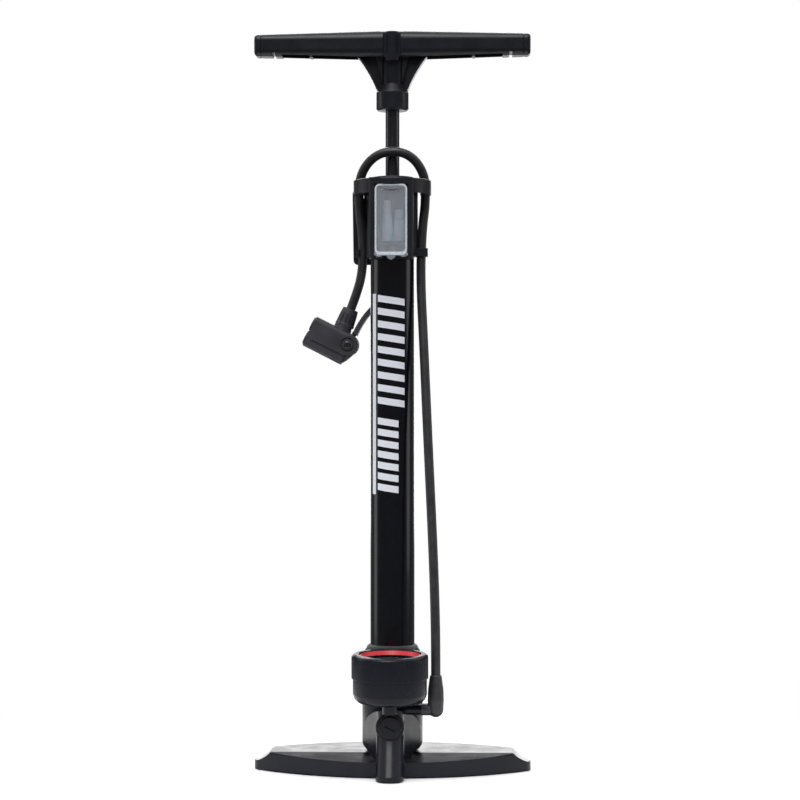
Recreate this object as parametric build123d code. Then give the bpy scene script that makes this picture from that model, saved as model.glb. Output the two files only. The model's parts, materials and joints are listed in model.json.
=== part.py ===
from build123d import *
import os
from math import cos, pi, radians, sin, tan

# Floor bike pump. Millimetres, +Z up, front towards -Y, +X to the right.
# The origin is on the barrel's axis, on the floor.

# ---------------------------------------------------------------- driving dimensions
RUN = 0.05              # radial clearance of a running fit
SNUG = 0.02             # radial clearance of a fixed pin in its hole
GAP = 0.3               # clearance between pieces that pass each other

BARREL_R = 19.0
BARREL_BORE_R = 17.5
BARREL_FOOT_Z = 15.0
BARREL_TOP_Z = 503.0
ROD_R = 6.0

RIM_Z = 1.0             # underside of the moulded base, held off the floor by rubber pads
PLATE_TOP_Z = 17.0
PLATE_HALF = 126.3      # half length of the lens outline before its tips are rounded
PLATE_FRONT = 50.0
PLATE_BACK = 46.0
CREASE_Y = -16.0        # straight crease where the flat top turns down to the front rim
FRONT_RIM_Z = 13.3
TIP_RIM_Z = 8.2
TIP_ROUND = 12.0
POCKET_Z = 7.5          # ceiling of the hollow under the plate
RIM_WALL = 6.0
RIB = 2.4
FOOT_PADS = [(0, 0, 20.0), (102, 0, 7.0), (-102, 0, 7.0), (0, -62, 6.0)]
PAD_H = 2.5
COLUMN_R = 26.3
COLUMN_FOOT_R = 21.0    # the column's foot is rounded in, down to the plate
COLUMN_TOP_Z = 105.0

HOUSING_FRONT_Y = -56.0
NOSE_Y = -74.5          # toe of the web under the housing
NOSE_STEP_Z = 5.0       # the toe is upright up to here, then leans back
NOSE_TOP_Z = 39.0
NOSE_LEAN = 20.3        # how far back the nose has moved at its top, inside the housing
CHAMBER_Z = 44.0        # axis height of the valve chamber, which runs front to back
CHAMBER_R = 7.0
CHAMBER_BACK_Y = -36.0
FEED_Y = -31.0          # rising drilling from the barrel's foot to the valve seat
PLUG_R = 10.0
PLUG_PROUD = 3.2        # how far the plug's face stands in front of the housing
SEAL_Y = -48.3          # shoulder that the plug's seal sits on
DUCT_Z = 57.0           # cross drilling to the hose
DUCT_Y = -38.0
DUCT_BOSS_R = 4.6
ELBOW_X = 38.1
ELBOW_TOP_Z = 86.0
ELBOW_R = 7.0

GAUGE_Y = -56.5
GAUGE_FOOT_Z = 65.0
GAUGE_TILT = 2.0        # the dial leans towards the front
GAUGE_NECK_R = 6.3
STEM_HOLE_R = 4.6
CAN_R = 31.0
CAN_H = 26.0
BEZEL_R = 32.2
BEZEL_Z = 21.2
BEZEL_SHOULDER = 39.0
BEZEL_TOP = 41.3
WINDOW_R = 25.5
LEDGE_Z = 34.9          # ledge inside the bezel, above the glass
LEDGE_R = 23.0
RING_Z = 36.9           # underside of the coloured ring, on the ledge

HOLDER_R = 22.0
HOLDER_LOW_Z = 442.5
HOLDER_TOP_Z = 508.0
BAND_Z = 495.5          # underside of the upper band that carries the hose
BAND_R = 33.5
BAND_Y = -2.5
LOW_BAND_Z = 449.5      # top of the lower band
TRAY_HALF = 18.8
TRAY_FRONT_Y = -34.6
SCREW_X = (-7.5, 1.5)
SCREW_Z = 447.6
DOOR_HALF = 13.9
DOOR_LOW_Z = 441.6
DOOR_TOP_Z = 502.3
DOOR_WALL = 1.5
DOOR_PIN_Y = -30.0
DOOR_PIN_Z = 443.0
DOOR_PIN_R = 1.2

HANDLE_HALF = 119.0
HANDLE_TOP_Z = 637.0
GRIP_H = 24.4           # at the hub; each grip tapers from there to its end
GRIP_DEPTH = 28.0
GRIP_TAPER = 1.44       # degrees on each side
GRIP_ROOF_Z = 630.5     # top of the hollow under each grip
HUB_R = 6.4
STEM_R = 9.4
STEM_FOOT_R = 13.9
STEM_FOOT_Z = 568.5
STEM_STEP_Z = 587.0
WEB_REACH = 30.0

HOSE_R = 4.0
HOSE_ROUND = 0.45       # share of the shorter run that each corner's arc takes up
# Centre line of the hose as the corners of its route, from the elbow, over the rod, to the chuck.
HOSE_ROUTE = [
    (38.1, -38.0, 86.0),
    (38.1, -38.0, 124.0),
    (35.8, -32.0, 191.0),
    (31.2, -21.5, 282.0),
    (27.5, -10.5, 362.0),
    (24.2, -2.5, 424.0),
    (25.6, 0.5, 466.0),
    (28.6, 1.5, 489.0),
    (28.2, -4.5, 514.5),
    (13.2, -13.5, 532.0),
    (-11.6, -13.5, 532.0),
    (-28.2, -4.5, 514.5),
    (-29.4, 4.0, 487.0),
    (-26.2, 11.0, 462.0),
    (-26.5, 18.5, 434.0),
    (-31.2, 26.5, 414.6),
    (-38.5, 26.5, 396.0),
]

PIVOT = (-40.0, 26.5, 367.0)    # chuck lever's pin
CHUCK_LEAN = 27.0               # the mouths point left and up by this angle
MOUTH_U = 35.0                  # distance from the pin to the mouth face
MOUTH_V = (2.4, -10.6)          # heights of the wide and the narrow mouth
GASKET_R = 6.0
WIDE_VALVE_R = 4.0
NARROW_VALVE_R = 3.1
CAM_R = 6.3
CAM_LIFT = 1.5

BOTTOM = (Align.CENTER, Align.CENTER, Align.MIN)


# ---------------------------------------------------------------- helpers
def rod(radius, low, high, x=0.0, y=0.0):
    """Upright cylinder between two heights."""
    return Pos(x, y, low) * Cylinder(radius, high - low, align=BOTTOM)


def ring(outer, inner, low, high, x=0.0, y=0.0):
    """Upright tube between two heights."""
    return rod(outer, low, high, x, y) - rod(inner, low - 1, high + 1, x, y)


def block(xs, ys, zs):
    """Box between two values of each coordinate."""
    centre = Pos(sum(xs) / 2, sum(ys) / 2, sum(zs) / 2)
    return centre * Box(xs[1] - xs[0], ys[1] - ys[0], zs[1] - zs[0])


def bar(start, end, radius):
    """Cylinder from one point to another."""
    along = Vector(*end) - Vector(*start)
    return Plane(origin=start, z_dir=along) * Cylinder(radius, along.length, align=BOTTOM)


def slab(points, plane, low, high):
    """Polygon drawn on a plane and extruded between two distances along its normal."""
    face = make_face(Polyline(*points, close=True))
    return extrude(plane.offset(low) * face, high - low)


def turned(points):
    """Solid of revolution about Z from (radius, height) corners."""
    face = make_face(Polyline(*[(r, 0, z) for r, z in points], close=True))
    return revolve(face, Axis.Z)


def save(shape, name):
    export_step(shape, f"parts/{name}.step")


# ---------------------------------------------------------------- base
def lens(half_length, front, back, height, low=0.0):
    """Plate whose front and back edges are arcs that meet at pointed ends."""
    front_arc = ThreePointArc((-half_length, 0), (0, -front), (half_length, 0))
    back_arc = ThreePointArc((half_length, 0), (0, back), (-half_length, 0))
    return extrude(Pos(0, 0, low) * make_face([front_arc, back_arc]), height)


def plate_cuts():
    """What is taken off above the plate: the slope to the front rim and the hollowed slopes at both tips."""
    slope = [(CREASE_Y, PLATE_TOP_Z), (-PLATE_FRONT, FRONT_RIM_Z), (-90, FRONT_RIM_Z), (-90, 60), (CREASE_Y, 60)]
    cuts = slab(slope, Plane.YZ, -PLATE_HALF, PLATE_HALF)
    for side in (-1, 1):
        curve = ThreePointArc((side * 104, PLATE_TOP_Z), (side * 110.5, 11.4), (side * 117, TIP_RIM_Z))
        rest = Polyline((side * 117, TIP_RIM_Z), (side * 130, TIP_RIM_Z), (side * 130, 60),
                        (side * 104, 60), (side * 104, PLATE_TOP_Z))
        cuts += extrude(Plane.XZ * make_face([curve, rest]), 90, both=True)
    return cuts


def plate():
    """Lens-shaped foot with rounded tips, a flat top, a sloping front and a low rim at the tips."""
    body = lens(PLATE_HALF, PLATE_FRONT, PLATE_BACK, PLATE_TOP_Z - RIM_Z, RIM_Z)
    body = fillet(body.edges().filter_by(Axis.Z), TIP_ROUND)
    top = body.edges().filter_by(lambda edge: edge.center().Z > PLATE_TOP_Z - 1)
    body = fillet(top, 1.6) - plate_cuts()
    return body


def plate_pocket():
    """Shallow hollow under the plate, crossed by ribs."""
    length = PLATE_HALF - 2 * RIM_WALL
    pocket = lens(length, PLATE_FRONT - RIM_WALL, PLATE_BACK - RIM_WALL, POCKET_Z)
    pocket &= block((-112, 112), (-60, 60), (0, POCKET_Z))
    pocket -= rod(COLUMN_R + 1, 0, PLATE_TOP_Z)
    pocket -= block((-16, 16), (-PLATE_FRONT, 0), (0, PLATE_TOP_Z))
    for side in (-1, 1):
        pocket -= rod(10, 0, PLATE_TOP_Z, x=side * 102)
        for x in (38, 54, 70, 86):
            pocket -= block((side * x - RIB / 2, side * x + RIB / 2), (-60, 60), (0, PLATE_TOP_Z))
    for y in (-18, 0, 18):
        pocket -= block((-PLATE_HALF, PLATE_HALF), (y - RIB / 2, y + RIB / 2), (0, PLATE_TOP_Z))
    return pocket


def valve_housing():
    """Arched block in front of the column, over a web whose round nose leans back as it rises."""
    half = COLUMN_R - 1.3
    sides = Polyline((-11.5, -45), (-half, -14), (-half, 0), (half, 0), (half, -14), (11.5, -45))
    plan = make_face([sides, ThreePointArc((11.5, -45), (0, HOUSING_FRONT_Y), (-11.5, -45))])
    front = Polyline((-half, 34), (-half, 24), (-13.5, 14), (-12.6, 0), (12.6, 0), (13.5, 14), (half, 24),
                     (half, 34))
    outline = make_face([front, ThreePointArc((half, 34), (0, 34 + half), (-half, 34))])
    body = extrude(Pos(0, 0, RIM_Z) * plan, 60) & extrude(Plane.XZ * outline, 80)
    nose_sides = Polyline((-11.5, -60), (-12.6, -24), (12.6, -24), (11.5, -60))
    nose = make_face([nose_sides, ThreePointArc((11.5, -60), (0, NOSE_Y), (-11.5, -60))])
    body += extrude(Pos(0, 0, RIM_Z) * nose, NOSE_STEP_Z - RIM_Z)
    rise = NOSE_TOP_Z - NOSE_STEP_Z
    lean = (0, NOSE_LEAN, rise)
    return body + extrude(Pos(0, 0, NOSE_STEP_Z) * nose, Vector(*lean).length, dir=lean)


def gauge_axis(low, high, radius):
    """Cylinder on the leaning gauge's own axis."""
    return GAUGE * rod(radius, low, high)


def base():
    column = turned([(0, RIM_Z), (COLUMN_FOOT_R, RIM_Z), (COLUMN_FOOT_R, PLATE_TOP_Z), (23.6, 18.8),
                     (25.4, 21.6), (COLUMN_R, 25), (COLUMN_R, 58), (24.8, 68), (23.8, COLUMN_TOP_Z - 1.5),
                     (22.8, COLUMN_TOP_Z), (0, COLUMN_TOP_Z)])
    body = (plate() - plate_pocket()) + column + valve_housing()
    plug_boss = bar((0, -40, CHAMBER_Z), (0, HOUSING_FRONT_Y - 1.5, CHAMBER_Z), PLUG_R + 2)
    edge = plug_boss.edges().filter_by(GeomType.CIRCLE).sort_by(Axis.Y)[0]
    body += fillet(edge, 1.0)
    body += bar((0, DUCT_Y, DUCT_Z), (26, DUCT_Y, DUCT_Z), DUCT_BOSS_R)
    body += gauge_axis(-9.6, -0.4, GAUGE_NECK_R)
    # Socket for the barrel, and the way of the air from there to the hose and the gauge.
    body -= rod(BARREL_R + SNUG, BARREL_FOOT_Z, COLUMN_TOP_Z + 1)
    body -= rod(3, 9, BARREL_FOOT_Z + 1)
    body -= bar((0, 0, 11), (0, FEED_Y, 11), 2)
    body -= rod(2, 11, CHAMBER_Z, y=FEED_Y)
    body -= bar((0, FEED_Y, CHAMBER_Z), (0, CHAMBER_BACK_Y, CHAMBER_Z), 2.5)
    body -= bar((0, CHAMBER_BACK_Y, CHAMBER_Z), (0, -60, CHAMBER_Z), CHAMBER_R)
    body -= bar((0, SEAL_Y, CHAMBER_Z), (0, -60, CHAMBER_Z), PLUG_R + SNUG)
    body -= bar((-2, DUCT_Y, DUCT_Z), (27, DUCT_Y, DUCT_Z), 1.8)
    body -= rod(1.6, CHAMBER_Z, DUCT_Z, y=DUCT_Y - 1)
    body -= gauge_axis(-24, 0, 1.5)
    body -= gauge_axis(-9, 4, STEM_HOLE_R)
    for x, y, radius in FOOT_PADS:
        body -= rod(radius + SNUG, 0, PAD_H, x, y)
    return body


def foot_pads():
    return Compound([rod(radius, 0, PAD_H, x, y) for x, y, radius in FOOT_PADS])


# ---------------------------------------------------------------- valve
def plug():
    """Round screw plug with a short tilted coin slot in its face."""
    face_y = HOUSING_FRONT_Y - PLUG_PROUD
    body = bar((0, -50, CHAMBER_Z), (0, face_y, CHAMBER_Z), PLUG_R)
    rim = body.edges().filter_by(lambda edge: edge.center().Y < face_y + 0.1)
    body = fillet(rim, 1.4)
    slot = Pos(0, face_y, CHAMBER_Z) * Rot(0, 27, 0) * Box(9.5, 3.6, 2.2)
    pocket = bar((0, -49, CHAMBER_Z), (0, -54, CHAMBER_Z), 4.2)
    return body - slot - pocket


def plug_seal():
    washer = Circle(9.2) - Circle(7.2)
    return extrude(Plane.XZ.offset(-SEAL_Y) * Pos(0, CHAMBER_Z) * washer, 1.6)


def check_disc():
    disc = bar((0, CHAMBER_BACK_Y - 0.1, CHAMBER_Z), (0, CHAMBER_BACK_Y - 2.6, CHAMBER_Z), 5.6)
    return disc + bar((0, CHAMBER_BACK_Y - 2.6, CHAMBER_Z), (0, CHAMBER_BACK_Y - 6, CHAMBER_Z), 2.2)


def valve_spring():
    """Light spring that holds the check disc on its seat."""
    start = CHAMBER_BACK_Y - 3.2
    length = 14.0
    wire = 0.35
    coil = Helix(pitch=2.3, height=length, radius=3.3)
    section = Plane(coil ^ 0) * Circle(wire)
    spring = sweep(section, path=coil)
    return Plane(origin=(0, start, CHAMBER_Z), z_dir=(0, -1, 0)) * spring


# ---------------------------------------------------------------- gauge
GAUGE = Plane(origin=(0, GAUGE_Y, GAUGE_FOOT_Z)) * Rot(GAUGE_TILT, 0, 0)


def gauge_can():
    body = rod(CAN_R, 0, CAN_H)
    body = fillet(body.edges().sort_by(Axis.Z)[0], 8)
    inside = rod(CAN_R - 2, 2, CAN_H + 1)
    inside = fillet(inside.edges().sort_by(Axis.Z)[0], 6.5)
    return GAUGE * (body - inside - rod(4.2, -1, 3))


def gauge_bezel():
    """Screwed ring with a rounded shoulder that holds the glass."""
    wall = Polyline((WINDOW_R, BEZEL_TOP - 0.8), (WINDOW_R, RING_Z), (LEDGE_R, RING_Z), (LEDGE_R, LEDGE_Z),
                    (CAN_R + SNUG, LEDGE_Z), (CAN_R + SNUG, BEZEL_Z), (BEZEL_R, BEZEL_Z),
                    (BEZEL_R, BEZEL_SHOULDER))
    shoulder = ThreePointArc((BEZEL_R, BEZEL_SHOULDER), (BEZEL_R - 0.9, BEZEL_TOP - 0.8), (28.6, BEZEL_TOP))
    rim = Polyline((28.6, BEZEL_TOP), (WINDOW_R + 0.8, BEZEL_TOP), (WINDOW_R, BEZEL_TOP - 0.8))
    return GAUGE * revolve(Plane.XZ * make_face([wall, shoulder, rim]), Axis.Z)


def gauge_lens():
    return GAUGE * rod(CAN_R - 0.1, LEDGE_Z - 2.1, LEDGE_Z - 0.1)


def gauge_dial():
    plate_edge = rod(CAN_R - 0.2, CAN_H + 0.1, CAN_H + 1.3)
    return GAUGE * (plate_edge - rod(1.3, CAN_H - 1, CAN_H + 3))


def dial_ring():
    """Coloured ring pressed into the window on top of the ledge."""
    outer = WINDOW_R - SNUG
    top = BEZEL_TOP - 1.1
    return GAUGE * turned([(LEDGE_R + 0.4, RING_Z), (outer, RING_Z), (outer, top), (24.7, top)])


def gauge_needle():
    hub = rod(3.0, 28.8, 31.0)
    shaft = rod(1.2, 17.0, 29.0)
    pointer = slab([(-2.0, 0), (-0.35, 20.0), (0.35, 20.0), (2.0, 0), (1.4, -7.5), (-1.4, -7.5)],
                   Plane.XY, 29.2, 30.2)
    return GAUGE * (Rot(0, 0, 135) * (hub + pointer) + shaft)


def bourdon_tube():
    """Curved pressure tube that bends with pressure and turns the needle."""
    arc = Torus(18.5, 2.0)
    arc -= block((-30, 0), (-30, 0), (-5, 5))
    foot = bar((0, -20.5, 0), (0, 0, 0), 2.0)
    return GAUGE * Pos(0, 0, 9) * (arc + foot)


def gauge_movement():
    """Bracket that carries the needle's shaft."""
    frame = block((-7, 7), (3, 13), (13, 15)) + block((-7, 7), (-6, 13), (18, 20))
    frame += block((-7, -5), (3, 13), (13, 20)) + block((5, 7), (3, 13), (13, 20))
    return GAUGE * (frame - rod(1.2 + RUN, 10, 24))


def gauge_stem():
    """Brass connector between the housing and the gauge."""
    body = rod(STEM_HOLE_R - SNUG, -8.8, 0) + rod(4.1, -0.5, 2) + rod(3.2, 2, 6.9)
    return GAUGE * (body - rod(1.2, -10, 6))


# ---------------------------------------------------------------- barrel, rod and piston
def barrel():
    return ring(BARREL_R, BARREL_BORE_R, BARREL_FOOT_Z, BARREL_TOP_Z)


def barrel_seal():
    """Rubber bead that closes the gap between the column and the barrel."""
    return turned([(BARREL_R + SNUG, COLUMN_TOP_Z), (22.4, COLUMN_TOP_Z), (21.6, 107.0), (19.9, 108.2),
                   (BARREL_R + SNUG, 108.2)])


def barrel_cap():
    body = turned([(8.0, 488), (BARREL_BORE_R - SNUG, 488), (BARREL_BORE_R - SNUG, BARREL_TOP_Z),
                   (BARREL_R, BARREL_TOP_Z), (BARREL_R, 509), (BARREL_R - 1.5, 511), (8.0, 511)])
    vent = rod(1.2, 480, 520, x=12.5)
    return body - vent


def rod_bush():
    return ring(8.0 - SNUG, ROD_R + RUN, 490, 512)


def piston_rod():
    body = rod(ROD_R, 18, 608)
    body -= ring(ROD_R + 1, ROD_R - 1, 27, 28.5)
    return body - rod(4.2, 40, 600)


def rod_clip():
    """Snap ring in the rod's groove that keeps the rod in the piston."""
    clip = ring(7.4, ROD_R - 1, 27.05, 28.45)
    return clip - block((-1.5, 1.5), (0, 9), (26, 30))


def rod_bumper():
    return ring(11.5, ROD_R, 36.5, 44)


def piston():
    body = rod(17.2, BARREL_FOOT_Z, 36)
    body = chamfer(body.edges().sort_by(Axis.Z)[0], 1.0)
    body -= ring(18, 14.8, 21, 25.2)
    body -= rod(ROD_R + RUN, 17, 40) + rod(8.2, 26.4, 29.2)
    return body


def piston_seal():
    return ring(BARREL_BORE_R - RUN, 14.85, 21.1, 25.1)


# ---------------------------------------------------------------- handle
def grip_bar():
    """T-bar that tapers from the hub to its rounded ends, with a groove before each end."""
    middle = HANDLE_TOP_Z - GRIP_H / 2
    section = Plane.YZ * Pos(0, middle) * RectangleRounded(GRIP_DEPTH, GRIP_H, 8)
    half = extrude(section, HANDLE_HALF, taper=GRIP_TAPER)
    rim = half.edges().filter_by(lambda edge: edge.center().X > HANDLE_HALF - 0.1)
    half = fillet(rim, 3.0)
    core = Plane.YZ * Pos(0, middle) * RectangleRounded(GRIP_DEPTH - 6.6, GRIP_H - 6.6, 4.7)
    groove = block((112.6, 113.4), (-20, 20), (600, 650)) - extrude(core, HANDLE_HALF)
    half -= groove
    return half + mirror(half, Plane.YZ)


def web(side):
    """Curved gusset from the stem up into the hollow of one grip, with a raised rim."""
    low = HANDLE_TOP_Z - GRIP_H
    foot_z = STEM_STEP_Z - 1
    inner_foot = (side * (STEM_R - 1), foot_z)
    outer_foot = (side * 13.4, foot_z)
    tip = (side * WEB_REACH, low + 2)
    curve = ThreePointArc(outer_foot, (side * 18.6, 597.2), tip)
    back = Polyline(tip, (side * WEB_REACH, GRIP_ROOF_Z + 1), (side * (STEM_R - 1), GRIP_ROOF_Z + 1),
                    inner_foot, outer_foot)
    plate_web = extrude(Plane.XZ * make_face([curve, back]), 2, both=True)
    rim_foot = (side * 11.0, foot_z)
    rim_tip = (side * (WEB_REACH - 3), low + 2)
    upper = ThreePointArc(rim_foot, (side * 16.5, 597.8), rim_tip)
    rim_face = make_face([curve, upper, Line(rim_foot, outer_foot), Line(tip, rim_tip)])
    rib = slab([(side * (STEM_R - 1), 590), (side * (STEM_R - 1), low + 3), (side * 14.5, low + 3)],
               Plane.XZ, -5.5, 5.5)
    return plate_web + extrude(Plane.XZ * rim_face, 6.5, both=True) + rib


def handle():
    low = HANDLE_TOP_Z - GRIP_H
    hub_top = HANDLE_TOP_Z - 1.6
    body = grip_bar()
    for side in (-1, 1):
        channel = block(sorted((side * 14.0, side * 95.0)), (-9.6, 9.6), (low - 1, GRIP_ROOF_Z))
        channel -= block(sorted((side * 68.7, side * 71.3)), (-10, 10), (low + 1.5, HANDLE_TOP_Z))
        body -= channel
        body -= block(sorted((side * 100.8, side * 103.4)), (-15, 15), (low - 1, low + 5.2))
    # The hub is a round boss that stands in a recess of the bar, front and back.
    half = GRIP_DEPTH / 2
    body -= block((-10.5, 10.5), (-half - 1, half + 1), (hub_top, HANDLE_TOP_Z + 1))
    for y in (-1, 1):
        body -= block((-7.6, 7.6), sorted((y * (half - 2.1), y * (half + 1))), (low - 1, HANDLE_TOP_Z + 1))
        body += rod(HUB_R, low - 2, hub_top, y=y * (half - HUB_R + 0.1))
    stem = turned([(0, STEM_FOOT_Z), (STEM_FOOT_R - 1.2, STEM_FOOT_Z), (STEM_FOOT_R, STEM_FOOT_Z + 1.2),
                   (STEM_FOOT_R, STEM_STEP_Z - 3), (STEM_R, STEM_STEP_Z + 4), (STEM_R, low + 4), (0, low + 4)])
    body += stem + web(1) + web(-1)
    body -= rod(ROD_R, STEM_FOOT_Z - 1, 608.5)
    body -= rod(8.2, 608, HANDLE_TOP_Z + 1)
    return body


def rod_nut():
    """Nut on the rod's threaded end, in the recess of the hub."""
    return extrude(Pos(0, 0, 609.6) * RegularPolygon(8.0, 6), 8) + rod(3.9, 608.05, 612)


def nut_washer():
    return ring(7.9, 4.0, 608.1, 609.5)


def hub_cap():
    body = rod(8.1, HANDLE_TOP_Z - 6, HANDLE_TOP_Z - 1.3)
    body = chamfer(body.edges().sort_by(Axis.Z)[-1], 0.6)
    return body - rod(6.6, HANDLE_TOP_Z - 7, HANDLE_TOP_Z - 3.2)


# ---------------------------------------------------------------- hose
def corner_radii(route):
    """Radius of each corner's arc, as large as its two runs allow."""
    radii = []
    for before, corner, after in zip(route, route[1:], route[2:]):
        run_in = Vector(*corner) - Vector(*before)
        run_out = Vector(*after) - Vector(*corner)
        turn = radians(run_in.get_angle(run_out))
        radii.append(HOSE_ROUND * min(run_in.length, run_out.length) / tan(turn / 2))
    return radii


def hose_tube(radius):
    """Tube along the hose's route."""
    path = FilletPolyline(*HOSE_ROUTE, radius=corner_radii(HOSE_ROUTE))
    return sweep(Plane(path ^ 0) * Circle(radius), path=path), path.length


def hose():
    tube, length = hose_tube(HOSE_R)
    print("hose radii", [round(radius, 1) for radius in corner_radii(HOSE_ROUTE)])
    print("hose length", round(length, 1))
    print("hose volume over section times length", round(tube.volume / (pi * HOSE_R**2 * length), 4))
    return tube


def outlet_elbow():
    """Moulded boot that turns from the cross drilling up into the hose."""
    height = ELBOW_TOP_Z - DUCT_Z
    body = bar((26, DUCT_Y, DUCT_Z), (ELBOW_X, DUCT_Y, DUCT_Z), 5.2)
    body += Pos(ELBOW_X, DUCT_Y, DUCT_Z) * Sphere(ELBOW_R - 0.4)
    upright = turned([(0, 0), (ELBOW_R - 0.4, 0), (ELBOW_R, 8), (ELBOW_R - 0.5, 17), (5.0, height - 0.8),
                      (4.4, height), (0, height)])
    body += Pos(ELBOW_X, DUCT_Y, DUCT_Z) * upright
    body -= bar((25, DUCT_Y, DUCT_Z), (ELBOW_X, DUCT_Y, DUCT_Z), 1.8)
    return body - rod(1.8, DUCT_Z, ELBOW_TOP_Z + 1, ELBOW_X, DUCT_Y)


# ---------------------------------------------------------------- holder
def upper_band():
    """Half-round band around the front of the head, open underneath between its two ears."""
    band = rod(BAND_R, BAND_Z, HOLDER_TOP_Z, y=BAND_Y)
    band = fillet(band.edges().sort_by(Axis.Z)[-1], 1.2)
    band -= block((-40, 40), (8, 60), (BAND_Z - 1, HOLDER_TOP_Z + 1))
    hollow = rod(BAND_R - 2.4, BAND_Z - 1, HOLDER_TOP_Z - 3.2, y=BAND_Y)
    return band - (hollow & block((-24.0, 24.0), (-40, 40), (BAND_Z - 2, HOLDER_TOP_Z)))


def adapter_tray():
    """Box in front of the barrel that frames the door."""
    tray = block((-TRAY_HALF, TRAY_HALF), (TRAY_FRONT_Y, 0), (439.5, HOLDER_TOP_Z))
    return fillet(tray.edges().filter_by(Axis.Z).group_by(Axis.Y)[0], 2.5)


def tray_hollow():
    """Recess for the door and, behind it, the room for the adapters and the two screws."""
    width = (-DOOR_HALF - 0.4, DOOR_HALF + 0.4)
    hollow = block(width, (-40, TRAY_FRONT_Y + 1.6), (430, DOOR_TOP_Z + 0.4))
    hollow += block(width, (-40, -21.2), (454, DOOR_TOP_Z - 1.8))
    hollow += block(width, (-40, -23.2), (430, 451))
    for side in (-1, 1):
        corner = sorted((side * 12.0, side * (DOOR_HALF + 0.4)))
        hollow += block(corner, (-40, -27.6), (450, 455))
    return hollow


def rear_fin():
    """Fin behind the hose on the chuck's side, leaning back with it."""
    side = [(7.4, 500), (10.6, 487), (17.4, 462), (23.6, 437), (26, 437), (19.8, 462), (13, 487), (9.8, 500)]
    outline = Plane.XZ * Pos(-26, 469) * RectangleRounded(18, 64, 4)
    return slab(side, Plane.YZ, -35, -17) & extrude(outline, 40, both=True)


def holder():
    """Moulding on the barrel's head that carries the hose and the adapter box."""
    body = ring(HOLDER_R, BARREL_R + SNUG, HOLDER_LOW_Z, HOLDER_TOP_Z)
    body += upper_band() + adapter_tray() + rear_fin() - tray_hollow()
    body += block((15, 30.6), (-7, 5), (HOLDER_LOW_Z, LOW_BAND_Z))
    body += block((-32.6, -15), (9, 23), (HOLDER_LOW_Z, LOW_BAND_Z))
    body -= rod(BARREL_R + SNUG, 430, HOLDER_TOP_Z + 1)
    # The hose's own way through, and the slots it is pressed in by.
    body -= hose_tube(HOSE_R + 0.6)[0]
    body -= block((25.3, 31), (0, 12), (494, 509))
    body -= block((22.2, 28), (-1, 12), (440, 451))
    body -= block((-30.8, -25), (0, 12), (494, 509))
    body -= block((-29.6, -23.2), (5, 14), (440, 451))
    body -= bar((-25, DOOR_PIN_Y, DOOR_PIN_Z), (25, DOOR_PIN_Y, DOOR_PIN_Z), DOOR_PIN_R + SNUG)
    for x in SCREW_X:
        body -= bar((x, -19, SCREW_Z), (x, -24, SCREW_Z), 1.3)
    return body


def holder_screws():
    """Two small pan-head screws that clamp the holder's band."""
    screws = []
    for x in SCREW_X:
        screw = bar((x, -20.4, SCREW_Z), (x, -23.3, SCREW_Z), 1.25)
        head = bar((x, -23.25, SCREW_Z), (x, -24.6, SCREW_Z), 2.4)
        head -= Pos(x, -24.6, SCREW_Z) * Box(3, 0.9, 0.7)
        head -= Pos(x, -24.6, SCREW_Z) * Box(0.7, 0.9, 3)
        screws.append(screw + head)
    return Compound(screws)


def adapter_door():
    """Clear door over the adapter box, hinged at its foot."""
    front = TRAY_FRONT_Y
    back = front + DOOR_WALL
    flange_z = DOOR_TOP_Z - 2.8
    outline = RectangleRounded(2 * DOOR_HALF, DOOR_TOP_Z - DOOR_LOW_Z, 4.5)
    middle_z = (DOOR_LOW_Z + DOOR_TOP_Z) / 2
    body = extrude(Plane.XZ.offset(-back) * Pos(0, middle_z) * outline, DOOR_WALL)
    for side in (-1, 1):
        flank = sorted((side * DOOR_HALF, side * (DOOR_HALF - 1.3)))
        body += block(flank, (back, -28), (447, flange_z))
        lug = sorted((side * 12.8, side * 8.0))
        body += block(lug, (front + 0.5, DOOR_PIN_Y), (DOOR_PIN_Z - 0.8, DOOR_PIN_Z + 2.6))
        body += bar((side * 12.8, DOOR_PIN_Y, DOOR_PIN_Z), (side * 8.0, DOOR_PIN_Y, DOOR_PIN_Z), 2.6)
    body += block((-DOOR_HALF, DOOR_HALF), (back, -29), (flange_z - 1.3, flange_z))
    tab = block((-7, 7), (front - 1.5, front + 0.5), (DOOR_TOP_Z - 4.5, DOOR_TOP_Z - 0.5))
    body += fillet(tab.edges().filter_by(Axis.X).group_by(Axis.Y)[0], 0.7)
    nub = Plane.XZ.offset(-back) * Pos(0, DOOR_LOW_Z + 0.6) * Circle(4)
    body += extrude(nub, DOOR_WALL)
    return body - bar((-20, DOOR_PIN_Y, DOOR_PIN_Z), (20, DOOR_PIN_Y, DOOR_PIN_Z), DOOR_PIN_R + RUN)


def door_pin():
    reach = TRAY_HALF - 0.3
    return bar((-reach, DOOR_PIN_Y, DOOR_PIN_Z), (reach, DOOR_PIN_Y, DOOR_PIN_Z), DOOR_PIN_R)


def cone_adapter():
    """Stepped taper nozzle for air beds and toys."""
    body = turned([(0, 454.1), (4.8, 454.1), (4.8, 457.6), (4.4, 458.0), (4.4, 460.6), (4.8, 461), (4.8, 463.5),
                   (3.5, 479), (3.2, 488.5), (0, 488.5)])
    return Pos(-3.4, -27, 0) * (body - rod(1.6, 450, 495))


def valve_adapter():
    """Push-on adapter with a wide foot."""
    body = turned([(0, 454.1), (4.9, 454.1), (4.9, 459), (4.7, 472), (3.7, 473), (3.7, 480.6), (0, 480.6)])
    return Pos(6.9, -27, 0) * (body - rod(2.4, 450, 495))


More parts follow.
